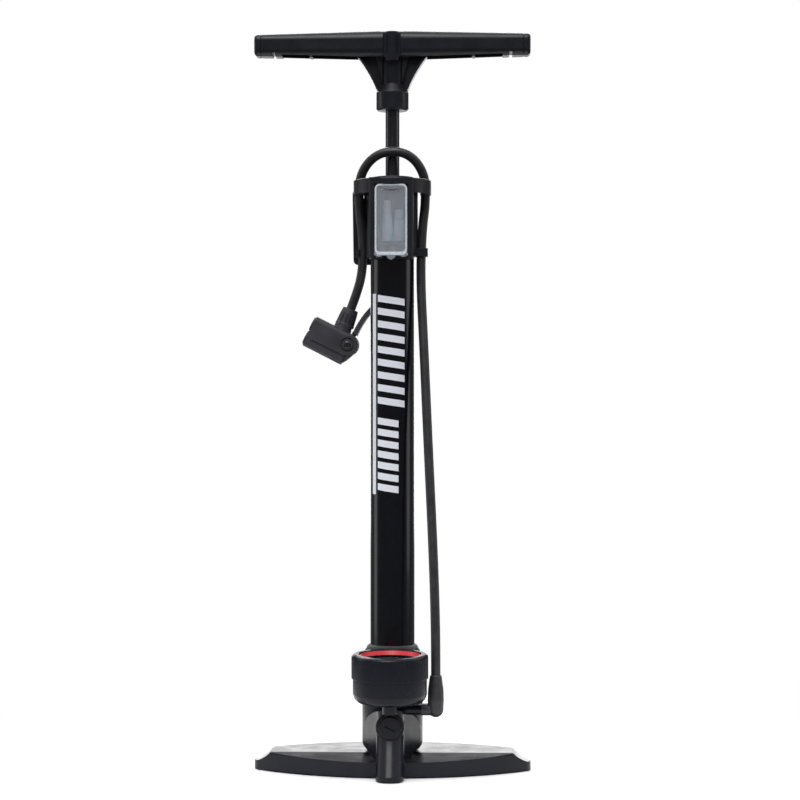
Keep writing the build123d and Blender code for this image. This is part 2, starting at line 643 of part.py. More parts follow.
# ---------------------------------------------------------------- chuck
# The chuck's own frame: x from the lever's pin to the mouths, z up beside the neck.
LEAN = radians(CHUCK_LEAN)
CHUCK = Plane(origin=PIVOT, x_dir=(-cos(LEAN), 0, sin(LEAN)), z_dir=(sin(LEAN), 0, cos(LEAN)))
# The neck's own frame: origin where the hose ends, z back along the hose.
NECK = Plane(origin=HOSE_ROUTE[-1], z_dir=Vector(*HOSE_ROUTE[-2]) - Vector(*HOSE_ROUTE[-1]))


def across(radius, half_width):
    """Cylinder on the lever pin's axis."""
    return Rot(90, 0, 0) * Cylinder(radius, 2 * half_width)


def along_mouth(radius, low, high, height):
    """Cylinder on the axis of one mouth."""
    return bar((low, 0, height), (high, 0, height), radius)


def chuck_body():
    case = block((-2, MOUTH_U), (-10, 10), (-18.3, 10))
    case = fillet(case.edges().filter_by(Axis.X), 4)
    case += chamfer(across(9.5, 10).edges().filter_by(GeomType.CIRCLE), 1.2)
    heel = slab([(-1, -18.3), (-4.6, -13.2), (-8, -5), (4, -2), (8, -18.3)], Plane.XZ, -8.6, 8.6)
    case += chamfer(heel.edges().filter_by(Axis.Y).sort_by(Axis.X)[0:2], 1.0)
    for side in (-1, 1):
        boss_end = (0, side * 10.6, 0)
        case += bar((0, side * 10, 0), boss_end, 4.75)
        case -= bar((0, side * 9.2, 0), boss_end, 6.2) - bar((0, side * 9.0, 0), boss_end, 4.75)
        groove = sorted((side * 9.2, side * 11))
        case -= block((-5, MOUTH_U - 5), groove, (-12.3, -10))
    stub = NECK * turned([(0, -21), (9.2, -21), (8.4, -16), (8.2, -13), (0, -13)])
    case += CHUCK.location.inverse() * stub
    case -= block((6.3, 21.5), (-7.5, 7.5), (-15.8, 8))
    case -= across(CAM_R + CAM_LIFT + 0.5, 4.3)
    case -= block((-12, 3.4), (-4.3, 4.3), (-4.6, 14))
    for height in MOUTH_V:
        case -= along_mouth(GASKET_R + 0.1, 21, MOUTH_U + 1, height)
    case -= across(2.0 + SNUG, 12)
    return (CHUCK * case) - NECK * rod(2.2, -24, -12)


def neck_nut():
    """Ribbed nut that clamps the hose to the chuck."""
    hose_hole = HOSE_R + GAP
    body = turned([(2.2, -12.9), (8.4, -12.9), (8.4, -11.3), (8.1, -10.8), (7.4, -1.6), (6.7, 2.6),
                   (hose_hole, 2.6), (hose_hole, 0), (2.2, 0)])
    for step in range(12):
        body -= Rot(0, 0, 30 * step) * block((7.1, 9), (-0.5, 0.5), (-10, -2.4))
    return NECK * body


def mouth_cap(height):
    body = along_mouth(6.4, MOUTH_U, MOUTH_U + 1.8, height) + along_mouth(6.0, MOUTH_U - 0.8, MOUTH_U, height)
    rim = body.edges().filter_by(GeomType.CIRCLE).sort_by(Axis.X)[-1]
    body = chamfer(rim, 0.6)
    return CHUCK * (body - along_mouth(WIDE_VALVE_R + 0.4, MOUTH_U - 2, MOUTH_U + 3, height))


def gasket(height, valve_radius):
    """Rubber sleeve that grips the valve's stem."""
    body = along_mouth(GASKET_R, 22, MOUTH_U - 0.9, height)
    return CHUCK * (body - along_mouth(valve_radius, 20, MOUTH_U + 1, height))


def plunger():
    """Slide that the lever's cam pushes to squeeze both gaskets."""
    body = block((CAM_R + GAP, CAM_R + GAP + 3), (-7, 7), (-15.3, 7.4))
    for height in MOUTH_V:
        body += along_mouth(4.7, CAM_R + GAP + 3, 18.8, height)
        body -= along_mouth(2.0, 0, 20, height)
    return CHUCK * body


def lever():
    """Lever with a cam on its foot, its curved paddle beside the hose at rest."""
    cam = across(CAM_R, 4) + Pos(0, 0, -CAM_LIFT) * across(CAM_R, 4)
    cam += block((-CAM_R, CAM_R), (-4, 4), (-CAM_LIFT, 0))
    arm = block((-2.6, 1.4), (-4, 4), (3, 12.5))
    near = ThreePointArc((0.8, 11), (0.4, 24), (-3.9, 42.2))
    far = ThreePointArc((-7.7, 40.6), (-4.3, 26), (-3.9, 10.6))
    ends = [Line((-3.9, 42.2), (-7.7, 40.6)), Line((-3.9, 10.6), (0.8, 11))]
    paddle = extrude(Plane.XZ * make_face([near, far] + ends), 6.5, both=True)
    paddle = fillet(paddle.edges().filter_by(Axis.Y).sort_by(Axis.Z)[-2:], 1.2)
    for height, depth in ((31, -3.1), (34, -4.1), (37, -5.3)):
        paddle -= Pos(depth, 0, height) * Rot(0, -20, 0) * block((2.4, 5), (-5, 5), (-0.5, 0.5))
    return CHUCK * (cam + arm + paddle - across(2.0 + RUN, 8))


def lever_pin():
    pin = across(2.0, 10.6)
    for side in (-1, 1):
        head = bar((0, side * 10.6, 0), (0, side * 11.8, 0), 3.2)
        face = head.edges().filter_by(GeomType.CIRCLE).sort_by(Axis.Y)[-1 if side > 0 else 0]
        pin += fillet(face, 1.0)
    return CHUCK * pin


# ---------------------------------------------------------------- output
def main():
    os.makedirs("parts", exist_ok=True)
    pieces = {
        "base": base(),
        "foot_pads": foot_pads(),
        "valve_plug": plug(),
        "plug_seal": plug_seal(),
        "check_disc": check_disc(),
        "valve_spring": valve_spring(),
        "gauge_can": gauge_can(),
        "gauge_bezel": gauge_bezel(),
        "gauge_lens": gauge_lens(),
        "gauge_dial": gauge_dial(),
        "dial_ring": dial_ring(),
        "gauge_needle": gauge_needle(),
        "bourdon_tube": bourdon_tube(),
        "gauge_movement": gauge_movement(),
        "gauge_stem": gauge_stem(),
        "barrel": barrel(),
        "barrel_seal": barrel_seal(),
        "barrel_cap": barrel_cap(),
        "rod_bush": rod_bush(),
        "piston_rod": piston_rod(),
        "rod_clip": rod_clip(),
        "rod_bumper": rod_bumper(),
        "piston": piston(),
        "piston_seal": piston_seal(),
        "handle": handle(),
        "rod_nut": rod_nut(),
        "nut_washer": nut_washer(),
        "hub_cap": hub_cap(),
        "hose": hose(),
        "outlet_elbow": outlet_elbow(),
        "holder": holder(),
        "holder_screws": holder_screws(),
        "adapter_door": adapter_door(),
        "door_pin": door_pin(),
        "cone_adapter": cone_adapter(),
        "valve_adapter": valve_adapter(),
        "chuck_body": chuck_body(),
        "neck_nut": neck_nut(),
        "wide_mouth_cap": mouth_cap(MOUTH_V[0]),
        "narrow_mouth_cap": mouth_cap(MOUTH_V[1]),
        "wide_gasket": gasket(MOUTH_V[0], WIDE_VALVE_R),
        "narrow_gasket": gasket(MOUTH_V[1], NARROW_VALVE_R),
        "chuck_plunger": plunger(),
        "chuck_lever": lever(),
        "lever_pin": lever_pin(),
    }
    for name, shape in pieces.items():
        save(shape, name)


main()
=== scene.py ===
import json
import math

import bmesh
import bpy
from mathutils import Matrix, Vector


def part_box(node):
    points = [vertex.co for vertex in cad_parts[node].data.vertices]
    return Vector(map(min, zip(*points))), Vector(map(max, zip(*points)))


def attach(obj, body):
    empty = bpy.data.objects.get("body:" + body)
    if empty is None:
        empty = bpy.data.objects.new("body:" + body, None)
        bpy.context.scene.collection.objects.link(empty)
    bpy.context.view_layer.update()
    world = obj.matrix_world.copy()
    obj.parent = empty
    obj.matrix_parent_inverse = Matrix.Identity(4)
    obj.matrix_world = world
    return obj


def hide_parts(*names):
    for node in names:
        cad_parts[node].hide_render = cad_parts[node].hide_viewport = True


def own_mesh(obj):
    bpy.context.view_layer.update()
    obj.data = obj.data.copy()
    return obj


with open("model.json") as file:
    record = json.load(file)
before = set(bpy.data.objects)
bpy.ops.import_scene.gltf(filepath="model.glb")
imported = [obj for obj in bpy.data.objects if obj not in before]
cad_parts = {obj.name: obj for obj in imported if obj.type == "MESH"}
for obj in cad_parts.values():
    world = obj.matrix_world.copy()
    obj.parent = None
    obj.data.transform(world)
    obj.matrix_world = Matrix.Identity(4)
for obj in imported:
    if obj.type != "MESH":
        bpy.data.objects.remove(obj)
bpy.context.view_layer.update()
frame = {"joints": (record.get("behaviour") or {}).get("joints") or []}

MM = 0.001
WEAR_FROM, WEAR_FULL = 0.52, 0.62   # pointiness where edge wear begins and is complete
WHITE = (1.0, 1.0, 1.0, 1)


# ---------------------------------------------------------------- shader graphs
class Graph:
    """A material built from nodes, with short calls for the ones used here."""

    def __init__(self, name):
        self.material = bpy.data.materials.new(name)
        self.material.use_nodes = True
        self.tree = self.material.node_tree
        self.tree.nodes.clear()
        self.shader = self.tree.nodes.new("ShaderNodeBsdfPrincipled")
        output = self.tree.nodes.new("ShaderNodeOutputMaterial")
        self.link(self.shader.outputs["BSDF"], output.inputs["Surface"])
        self.place = self.tree.nodes.new("ShaderNodeTexCoord").outputs["Object"]

    def link(self, output, socket):
        self.tree.links.new(output, socket)

    def set(self, **values):
        for name, value in values.items():
            self.shader.inputs[name.replace("_", " ")].default_value = value

    def stretched(self, scale):
        """Object coordinates scaled differently along each axis."""
        node = self.tree.nodes.new("ShaderNodeMapping")
        node.inputs["Scale"].default_value = scale
        self.link(self.place, node.inputs["Vector"])
        return node.outputs["Vector"]

    def noise(self, size, detail=3.0, rough=0.55, vector=None):
        """Noise whose features are about size metres across."""
        node = self.tree.nodes.new("ShaderNodeTexNoise")
        node.inputs["Scale"].default_value = 1.0 / size
        node.inputs["Detail"].default_value = detail
        node.inputs["Roughness"].default_value = rough
        self.link(vector or self.place, node.inputs["Vector"])
        return node.outputs["Fac"]

    def cells(self, size):
        """Voronoi cells about size metres across."""
        node = self.tree.nodes.new("ShaderNodeTexVoronoi")
        node.feature = "F1"
        node.inputs["Scale"].default_value = 1.0 / size
        self.link(self.place, node.inputs["Vector"])
        return node.outputs["Distance"]

    def ramp(self, source, stops):
        """Colour ramp with (position, colour) stops; a number stands for a grey."""
        node = self.tree.nodes.new("ShaderNodeValToRGB")
        elements = node.color_ramp.elements
        while len(elements) < len(stops):
            elements.new(0.5)
        for element, (position, colour) in zip(elements, stops):
            element.position = position
            grey = isinstance(colour, float)
            element.color = (colour, colour, colour, 1) if grey else (*colour, 1)
        self.link(source, node.inputs["Fac"])
        return node.outputs["Color"]

    def math(self, operation, a, b):
        """Arithmetic on sockets or plain numbers."""
        node = self.tree.nodes.new("ShaderNodeMath")
        node.operation = operation
        for socket, value in zip(node.inputs, (a, b)):
            if isinstance(value, float):
                socket.default_value = value
            else:
                self.link(value, socket)
        return node.outputs["Value"]

    def mix(self, factor, a, b):
        """Colour between a and b; factor is a socket."""
        node = self.tree.nodes.new("ShaderNodeMix")
        node.data_type = "RGBA"
        node.blend_type = "MIX"
        sockets = [s for s in node.inputs if s.type == "RGBA"]
        self.link(factor, node.inputs[0])
        for socket, value in zip(sockets, (a, b)):
            if isinstance(value, tuple):
                socket.default_value = (*value, 1)
            else:
                self.link(value, socket)
        return next(s for s in node.outputs if s.type == "RGBA")

    def edges(self):
        """1 along convex edges, where handling wears the surface."""
        node = self.tree.nodes.new("ShaderNodeNewGeometry")
        return self.ramp(node.outputs["Pointiness"], [(WEAR_FROM, 0.0), (WEAR_FULL, 1.0)])

    def relief(self, layers, rounding=0.0):
        """Bump from (height, depth in metres) layers over softly rounded edges."""
        normal = None
        if rounding:
            node = self.tree.nodes.new("ShaderNodeBevel")
            node.samples = 4
            node.inputs["Radius"].default_value = rounding
            normal = node.outputs["Normal"]
        for height, depth in layers:
            node = self.tree.nodes.new("ShaderNodeBump")
            node.inputs["Strength"].default_value = 1.0
            node.inputs["Distance"].default_value = depth
            self.link(height, node.inputs["Height"])
            if normal:
                self.link(normal, node.inputs["Normal"])
            normal = node.outputs["Normal"]
        self.link(normal, self.shader.inputs["Normal"])


def shade(colour, factor):
    return tuple(channel * factor for channel in colour)


def moulded(name, colour, rough, grain, depth, wear=0.5, rounding=0.6 * MM, specular=0.30):
    """Injection-moulded plastic with a fine spark-eroded grain, flow marks and rubbed edges."""
    graph = Graph(name)
    patches = graph.noise(18 * MM, 4)
    tone = graph.ramp(patches, [(0.35, shade(colour, 0.86)), (0.65, shade(colour, 1.14))])
    rubbed = graph.math("MULTIPLY", graph.edges(), wear)
    graph.link(graph.mix(rubbed, tone, shade(colour, 1.7)), graph.shader.inputs["Base Color"])
    fine = graph.noise(grain, 2)
    pits = graph.cells(grain * 1.6)
    gloss = graph.ramp(patches, [(0.3, rough - 0.05), (0.7, rough + 0.06)])
    polished = graph.mix(rubbed, gloss, (rough - 0.12,) * 3)
    graph.link(polished, graph.shader.inputs["Roughness"])
    graph.relief([(pits, depth), (fine, depth * 0.6)], rounding)
    graph.shader.inputs["Specular IOR Level"].default_value = specular
    return graph.material


def gloss_paint(name, colour):
    """Baked gloss enamel with faint orange peel and fine rubbing marks along the tube."""
    graph = Graph(name)
    patches = graph.noise(40 * MM, 3)
    tone = graph.ramp(patches, [(0.3, shade(colour, 0.85)), (0.7, shade(colour, 1.2))])
    graph.link(tone, graph.shader.inputs["Base Color"])
    marks = graph.noise(0.5 * MM, 2, vector=graph.stretched((1, 1, 0.02)))
    gloss = graph.ramp(marks, [(0.35, 0.15), (0.75, 0.27)])
    graph.link(gloss, graph.shader.inputs["Roughness"])
    peel = graph.noise(2.6 * MM, 2)
    graph.relief([(peel, 0.012 * MM)], 0.4 * MM)
    graph.set(Coat_Weight=0.25, Coat_Roughness=0.06)
    graph.shader.inputs["Specular IOR Level"].default_value = 0.32
    return graph.material


def metal(name, colour, rough, along=(1, 1, 0.05), brush=0.25 * MM, tarnish=0.25):
    """Turned or drawn metal with fine tool marks and slight tarnish."""
    graph = Graph(name)
    patches = graph.noise(6 * MM, 4)
    tone = graph.ramp(patches, [(0.35, shade(colour, 1 - tarnish)), (0.7, colour)])
    graph.link(tone, graph.shader.inputs["Base Color"])
    marks = graph.noise(brush, 3, vector=graph.stretched(along))
    gloss = graph.ramp(marks, [(0.3, max(rough - 0.1, 0.05)), (0.7, rough + 0.1)])
    graph.link(gloss, graph.shader.inputs["Roughness"])
    graph.relief([(marks, 0.01 * MM)], 0.2 * MM)
    graph.set(Metallic=1.0)
    return graph.material


def rubber(name, colour, rough=0.6, grain=0.25 * MM, depth=0.02 * MM, sheen=0.15):
    """Black rubber with a dry bloom and a dusty, slightly mottled skin."""
    graph = Graph(name)
    bloom = graph.noise(9 * MM, 5, 0.6)
    tone = graph.ramp(bloom, [(0.3, shade(colour, 0.8)), (0.55, colour), (0.8, shade(colour, 1.45))])
    graph.link(tone, graph.shader.inputs["Base Color"])
    gloss = graph.ramp(bloom, [(0.3, rough - 0.1), (0.75, rough + 0.1)])
    graph.link(gloss, graph.shader.inputs["Roughness"])
    graph.relief([(graph.noise(grain, 3), depth)], 0.25 * MM)
    graph.set(Sheen_Weight=sheen, Sheen_Roughness=0.45)
    return graph.material


def clear_plastic(name, colour, rough=0.06, ior=1.49, clouding=0.06, clear=0.95):
    """Clear moulding with faint flow lines and scuffs."""
    graph = Graph(name)
    flow = graph.noise(14 * MM, 3)
    tone = graph.ramp(flow, [(0.3, shade(colour, 0.97)), (0.7, colour)])
    graph.link(tone, graph.shader.inputs["Base Color"])
    scuffs = graph.noise(1.2 * MM, 5, 0.7)
    gloss = graph.ramp(scuffs, [(0.45, rough), (0.8, rough + clouding)])
    graph.link(gloss, graph.shader.inputs["Roughness"])
    graph.relief([(flow, 0.05 * MM)], 0.3 * MM)
    graph.set(IOR=ior, Transmission_Weight=clear)
    return graph.material


def milky_plastic(name, colour, clear=0.35):
    """Translucent nozzle plastic with light scattered inside."""
    graph = Graph(name)
    cloud = graph.noise(5 * MM, 3)
    tone = graph.ramp(cloud, [(0.3, shade(colour, 0.93)), (0.7, colour)])
    graph.link(tone, graph.shader.inputs["Base Color"])
    gloss = graph.ramp(graph.noise(0.8 * MM, 3), [(0.4, 0.22), (0.7, 0.34)])
    graph.link(gloss, graph.shader.inputs["Roughness"])
    graph.relief([(cloud, 0.03 * MM)], 0.3 * MM)
    graph.set(Transmission_Weight=clear, Subsurface_Weight=0.3, Subsurface_Scale=0.002)
    return graph.material


def ink(name, colour, rough=0.4):
    """Screen-printed ink with slightly uneven cover."""
    graph = Graph(name)
    cover = graph.noise(1.5 * MM, 4, 0.65)
    tone = graph.ramp(cover, [(0.3, shade(colour, 0.93)), (0.6, colour)])
    graph.link(tone, graph.shader.inputs["Base Color"])
    gloss = graph.ramp(cover, [(0.3, rough - 0.06), (0.7, rough + 0.08)])
    graph.link(gloss, graph.shader.inputs["Roughness"])
    graph.relief([(graph.noise(0.3 * MM, 2), 0.01 * MM)])
    return graph.material


BASE_PLASTIC = moulded("base_plastic", (0.0050, 0.0053, 0.0095), 0.22, 0.7 * MM, 0.03 * MM, 0.35, specular=0.20)
HANDLE_PLASTIC = moulded("handle_plastic", (0.0085, 0.009, 0.0135), 0.34, 0.45 * MM, 0.025 * MM, 0.4, 0.8 * MM)
HOLDER_PLASTIC = moulded("holder_plastic", (0.009, 0.0095, 0.0140), 0.42, 0.4 * MM, 0.02 * MM, 0.4)
GAUGE_PLASTIC = moulded("gauge_plastic", (0.0038, 0.0042, 0.0085), 0.26, 0.4 * MM, 0.018 * MM, 0.4, specular=0.22)
CHUCK_PLASTIC = moulded("chuck_plastic", (0.034, 0.034, 0.041), 0.46, 0.5 * MM, 0.035 * MM, 0.5)
NATURAL_PLASTIC = moulded("natural_plastic", (0.62, 0.61, 0.56), 0.45, 0.6 * MM, 0.015 * MM, 0.1)
BARREL_PAINT = gloss_paint("barrel_paint", (0.0018, 0.0022, 0.0045))
ROD_STEEL = metal("rod_steel", (0.075, 0.075, 0.085), 0.30, brush=0.7 * MM, tarnish=0.12)
ZINC = metal("zinc_steel", (0.62, 0.62, 0.64), 0.28)
BRASS = metal("brass", (0.62, 0.43, 0.17), 0.27, along=(1, 1, 1), brush=0.4 * MM)
SEAL_RUBBER = rubber("seal_rubber", (0.018, 0.018, 0.020))
HOSE_RUBBER = rubber("hose_rubber", (0.016, 0.016, 0.019), 0.44, 0.35 * MM, 0.03 * MM, 0.1)
PIN_STEEL = metal("pin_steel", (0.10, 0.10, 0.11), 0.26)
LENS = clear_plastic("gauge_glass", (0.94, 0.95, 0.97), 0.03, 1.45, 0.02)
CLEAR = clear_plastic("door_clear", (0.85, 0.90, 0.99), 0.05, 1.49, 0.05, 0.80)
# Milky plastic for the raised door rim: its lighter colour is a painted highlight for the bright glow along the
# clear door's edges.
DOOR_EDGE_HIGHLIGHT = milky_plastic("door_edge_highlight", (0.86, 0.89, 0.95), 0.25)
MILKY = milky_plastic("adapter_plastic", (0.86, 0.90, 0.92), 0.2)
DIAL_FACE = ink("dial_face", (0.025, 0.026, 0.03), 0.5)
DIAL_RED = ink("dial_red", (0.62, 0.030, 0.035), 0.32)
WHITE_INK = ink("white_ink", (0.70, 0.72, 0.79), 0.42)
NEEDLE_PAINT = ink("needle_paint", (0.80, 0.79, 0.75), 0.4)

FINISHES = {
    BASE_PLASTIC: ["base", "valve_plug"],
    HANDLE_PLASTIC: ["handle", "hub_cap"],
    HOLDER_PLASTIC: ["holder", "barrel_cap"],
    GAUGE_PLASTIC: ["gauge_can", "gauge_bezel"],
    CHUCK_PLASTIC: ["chuck_body", "neck_nut", "wide_mouth_cap", "narrow_mouth_cap", "chuck_lever"],
    NATURAL_PLASTIC: ["rod_bush", "piston", "chuck_plunger"],
    BARREL_PAINT: ["barrel"],
    ROD_STEEL: ["piston_rod"],
    ZINC: ["valve_spring", "rod_clip", "rod_nut", "nut_washer", "door_pin"],
    PIN_STEEL: ["lever_pin"],
    BRASS: ["bourdon_tube", "gauge_movement", "gauge_stem", "holder_screws"],
    SEAL_RUBBER: ["foot_pads", "plug_seal", "check_disc", "barrel_seal", "rod_bumper", "piston_seal",
                  "wide_gasket", "narrow_gasket"],
    HOSE_RUBBER: ["outlet_elbow"],
    LENS: ["gauge_lens"],
    CLEAR: ["adapter_door"],
    MILKY: ["cone_adapter", "valve_adapter"],
    DIAL_FACE: ["gauge_dial"],
    DIAL_RED: ["dial_ring"],
    NEEDLE_PAINT: ["gauge_needle"],
}


def finish_cad_nodes():
    for material, names in FINISHES.items():
        for name in names:
            for slot in bpy.data.objects[name].material_slots:
                slot.material = material


# ---------------------------------------------------------------- camera
VIEW_DISTANCE = 1.900
VIEW_HEIGHT = 0.3188
VIEW_SIDE = 0.0065          # the barrel stands a little left of the middle of the view
VIEW_TURN = math.radians(2.0)
VIEW_WIDTH = 0.6912         # width of the view at the barrel


def add_camera():
    data = bpy.data.cameras.new("view")
    data.sensor_width = 36.0
    data.lens = data.sensor_width * VIEW_DISTANCE / VIEW_WIDTH
    camera = bpy.data.objects.new("view", data)
    right = Vector((math.cos(VIEW_TURN), math.sin(VIEW_TURN), 0))
    back = Vector((math.sin(VIEW_TURN), -math.cos(VIEW_TURN), 0))
    camera.location = back * VIEW_DISTANCE + right * VIEW_SIDE + Vector((0, 0, VIEW_HEIGHT))
    camera.rotation_euler = (math.radians(90), 0, VIEW_TURN)
    bpy.context.collection.objects.link(camera)
    bpy.context.scene.camera = camera


# ---------------------------------------------------------------- hose
HOSE_DIAMETER = 8 * MM
HOSE_SMOOTHNESS = 24        # steps between two points of the route
HOSE_ROUNDNESS = 8
HOSE_ROUTE = [
    (0.0381, -0.0380, 0.0860),
    (0.0381, -0.0380, 0.1240),
    (0.0358, -0.0320, 0.1910),
    (0.0312, -0.0215, 0.2820),
    (0.0275, -0.0105, 0.3620),
    (0.0242, -0.0025, 0.4240),
    (0.0256, 0.0005, 0.4660),
    (0.0286, 0.0015, 0.4890),
    (0.0282, -0.0045, 0.5145),
    (0.0132, -0.0135, 0.5320),
    (-0.0116, -0.0135, 0.5320),
    (-0.0282, -0.0045, 0.5145),
    (-0.0294, 0.0040, 0.4870),
    (-0.0262, 0.0110, 0.4620),
    (-0.0265, 0.0185, 0.4340),
    (-0.0312, 0.0265, 0.4146),
    (-0.0385, 0.0265, 0.3960),
]


def add_hose():
    curve = bpy.data.curves.new("rubber_hose", "CURVE")
    curve.dimensions = "3D"
    curve.resolution_u = HOSE_SMOOTHNESS
    curve.bevel_depth = HOSE_DIAMETER / 2
    curve.bevel_resolution = HOSE_ROUNDNESS
    curve.use_fill_caps = True
    spline = curve.splines.new("NURBS")
    spline.points.add(len(HOSE_ROUTE) - 1)
    for point, place in zip(spline.points, HOSE_ROUTE):
        point.co = (*place, 1)
    spline.order_u = 3
    spline.use_endpoint_u = True
    curve.materials.append(HOSE_RUBBER)
    hose = bpy.data.objects.new("rubber_hose", curve)
    bpy.context.collection.objects.link(hose)
    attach(hose, "root")
    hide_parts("hose")


# ---------------------------------------------------------------- mesh helpers
def new_piece(name, mesh, material, body):
    mesh.materials.append(material)
    piece = bpy.data.objects.new(name, mesh)
    bpy.context.collection.objects.link(piece)
    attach(piece, body)
    return piece


def mesh_of(name, build):
    """Mesh made by a function that fills a bmesh."""
    shape = bmesh.new()
    build(shape)
    bmesh.ops.recalc_face_normals(shape, faces=shape.faces)
    mesh = bpy.data.meshes.new(name)
    shape.to_mesh(mesh)
    shape.free()
    return mesh


def plate_on(shape, outline, place, thick):
    """Closed thin plate: place(u, v, height) puts each outline point on the surface."""
    low = [shape.verts.new(place(u, v, 0)) for u, v in outline]
    high = [shape.verts.new(place(u, v, thick)) for u, v in outline]
    shape.faces.new(low[::-1])
    shape.faces.new(high)
    for i in range(len(outline)):
        j = (i + 1) % len(outline)
        shape.faces.new((low[i], low[j], high[j], high[i]))


# ---------------------------------------------------------------- barrel print
PRINT_LIFT = 0.02 * MM
PRINT_THICK = 0.06 * MM
# Angles round the barrel are degrees from the front, positive to the right.
STRIPE_ANGLE = -53.0
STRIPE_WIDTH = 14.0
STRIPE_STEPS = 4
PRINT_LOW = 0.238
PRINT_HIGH = 0.410
BARS_LEFT = -39.0
BARS_SLANT = -0.05 * MM     # rise for each degree to the right
BAR_HEIGHT = 0.0058
BAR_STEPS = 14
LADDERS = (                 # bars, their right end, top of the first, distance from one to the next
    (9, 35, 0.4090, 0.0109),
    (7, 18, 0.3040, 0.0094),
)


def barrel_radius():
    low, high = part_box("barrel")
    return (high[0] - low[0]) / 2


def on_barrel(angle, height, lift):
    """Point on the barrel's front, angle in degrees to the right."""
    radius = barrel_radius() + PRINT_LIFT + lift
    turn = math.radians(angle)
    return Vector((radius * math.sin(turn), -radius * math.cos(turn), height))


def wrapped_band(shape, left, right, low, high, slant, steps):
    """Band round the barrel whose ends stay upright while it climbs by slant."""
    rows = []
    for step in range(steps + 1):
        share = step / steps
        angle = left + (right - left) * share
        rise = slant * share
        column = []
        for height in (low + rise, high + rise):
            for lift in (0, PRINT_THICK):
                column.append(shape.verts.new(on_barrel(angle, height, lift)))
        rows.append(column)
    for a, b in zip(rows, rows[1:]):
        shape.faces.new((a[0], b[0], b[1], a[1]))
        shape.faces.new((a[2], a[3], b[3], b[2]))
        shape.faces.new((a[0], a[2], b[2], b[0]))
        shape.faces.new((a[1], b[1], b[3], a[3]))
    shape.faces.new((rows[0][0], rows[0][1], rows[0][3], rows[0][2]))
    shape.faces.new((rows[-1][0], rows[-1][2], rows[-1][3], rows[-1][1]))


def barrel_print(shape):
    """A long upright stripe, and beside it two ladders of slanted bars."""
    wrapped_band(shape, STRIPE_ANGLE - STRIPE_WIDTH / 2, STRIPE_ANGLE + STRIPE_WIDTH / 2,
                 PRINT_LOW, PRINT_HIGH, 0, STRIPE_STEPS)
    for count, right, top, pitch in LADDERS:
        slant = BARS_SLANT * (right - BARS_LEFT)
        for index in range(count):
            low = top - index * pitch - BAR_HEIGHT
            wrapped_band(shape, BARS_LEFT, right, low, low + BAR_HEIGHT, slant, BAR_STEPS)


def add_barrel_print():
    mesh = mesh_of("barrel_print", barrel_print)
    new_piece("barrel_print", mesh, WHITE_INK, "root")


# ---------------------------------------------------------------- gauge dial
DIAL_HALF_THICK = 0.6 * MM
DIAL_START = 225.0          # degrees of the zero mark, counted anticlockwise from the right
DIAL_SWEEP = 270.0
DIAL_STEPS = 32
MAJOR_EVERY = 4             # every fourth mark is long and has a number
UNITS_PER_MARK = 5
MARK_OUTER = 20.6 * MM
MAJOR_INNER, MINOR_INNER = 16.6 * MM, 18.4 * MM
MAJOR_HALF, MINOR_HALF = 0.42 * MM, 0.2 * MM
MARK_GAP = 0.02 * MM
MARK_THICK = 0.08 * MM
NUMBER_SIZE = 3.4 * MM
NUMBER_THICK = 0.04 * MM
NUMBER_RADIUS = 13.4
NUMBER_GAP = 0.08 * MM


def gauge_frame():
    """Matrix from dial coordinates (x right, y up the dial, z out of it) to the row frame."""
    low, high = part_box("gauge_dial")
    centre = (Vector(low) + Vector(high)) / 2
    joint = next(j for j in frame["joints"] if j["child"] == "needle")
    out = Vector(joint["axis"]).normalized()
    right = Vector((1, 0, 0))
    up = out.cross(right)
    axes = Matrix((right, up, out)).transposed().to_4x4()
    return Matrix.Translation(centre) @ axes


def dial_angle(step):
    return math.radians(DIAL_START - DIAL_SWEEP * step / DIAL_STEPS)


def add_dial_marks():
    axes = gauge_frame()

    def on_dial(u, v, height):
        return axes @ Vector((u, v, DIAL_HALF_THICK + MARK_GAP + height))

    def build(shape):
        for step in range(DIAL_STEPS + 1):
            angle = dial_angle(step)
            major = step % MAJOR_EVERY == 0
            inner = MAJOR_INNER if major else MINOR_INNER
            along = Vector((math.cos(angle), math.sin(angle)))
            side = Vector((-along.y, along.x)) * (MAJOR_HALF if major else MINOR_HALF)
            corners = (along * inner - side, along * MARK_OUTER - side,
                       along * MARK_OUTER + side, along * inner + side)
            plate_on(shape, [tuple(corner) for corner in corners], on_dial, MARK_THICK)

    new_piece("dial_marks", mesh_of("dial_marks", build), WHITE_INK, "root")
    for step in range(0, DIAL_STEPS + 1, MAJOR_EVERY):
        add_dial_number(step, axes)


def add_dial_number(step, axes):
    name = f"dial_number_{step}"
    text = bpy.data.curves.new(name, "FONT")
    text.body = str(step * UNITS_PER_MARK)
    text.size = NUMBER_SIZE
    text.align_x = "CENTER"
    text.align_y = "CENTER"
    text.extrude = NUMBER_THICK
    text.materials.append(WHITE_INK)
    number = bpy.data.objects.new(name, text)
    bpy.context.collection.objects.link(number)
    angle = dial_angle(step)
    spot = Vector((math.cos(angle), math.sin(angle), 0)) * NUMBER_RADIUS * MM
    spot.z = DIAL_HALF_THICK + NUMBER_GAP
    number.matrix_world = axes @ Matrix.Translation(spot)
    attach(number, "root")


# ---------------------------------------------------------------- door rim
DOOR_FACE_Y = -34.6 * MM
DOOR_CORNER = 4.5 * MM
DOOR_NUB = 3.4 * MM         # how far the finger nub hangs below the door's foot
FACE_LAP = 0.1 * MM         # how far the rim sinks into the door and stays inside its edge
RIM_WIDTH = 1.7 * MM
RIM_FOOT = 3.0 * MM         # the rim is deeper along the door's foot
RIM_PROUD = 0.4 * MM
RIM_BEVEL = 0.35 * MM
CORNER_STEPS = 8


